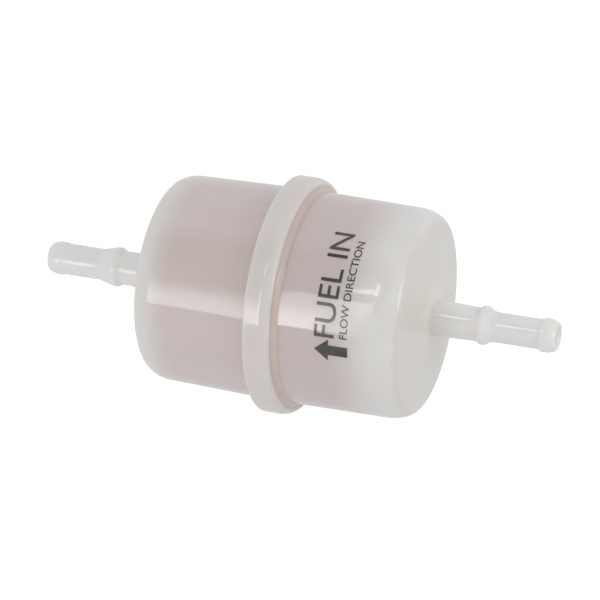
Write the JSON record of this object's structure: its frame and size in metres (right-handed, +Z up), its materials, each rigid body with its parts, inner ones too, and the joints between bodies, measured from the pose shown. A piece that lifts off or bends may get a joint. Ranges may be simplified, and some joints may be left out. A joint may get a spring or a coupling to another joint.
{
  "type": "in-line fuel filter",
  "caption": "Cylindrical welded plastic in-line fuel filter with a raised middle band, a hose barb on each end and a pleated paper element inside.",
  "frame": {"origin": "on the filter's axis, at the middle of the raised band; the overall length is centred on it to within 0.5 mm", "axes": "+X along the axis towards the inlet barb, so fuel flows along -X; +Z up; the printed side of the inlet half faces -Y and up"},
  "size_m": [0.1148, 0.051, 0.051],
  "materials": {
    "nylon": "milky translucent natural nylon, satin gloss",
    "weld_nylon": "re-melted nylon, slightly tan",
    "filter_paper": "pink resin-treated filter paper, matt",
    "cap_plastic": "off-white moulded plastic",
    "adhesive": "cured pale amber adhesive",
    "seal_rubber": "pale fuel-resistant rubber, matt",
    "print_ink": "dark grey pad-printed ink"
  },
  "bodies": {
    "root": {"outlet_housing": "nylon", "inlet_housing": "nylon", "weld_bead": "weld_nylon", "pleated_paper": "filter_paper", "seam_glue": "adhesive", "inlet_end_cap": "cap_plastic", "outlet_end_cap": "cap_plastic", "inlet_potting": "adhesive", "outlet_potting": "adhesive", "support_core": "cap_plastic", "neck_seal": "seal_rubber"}
  },
  "joints": []
}
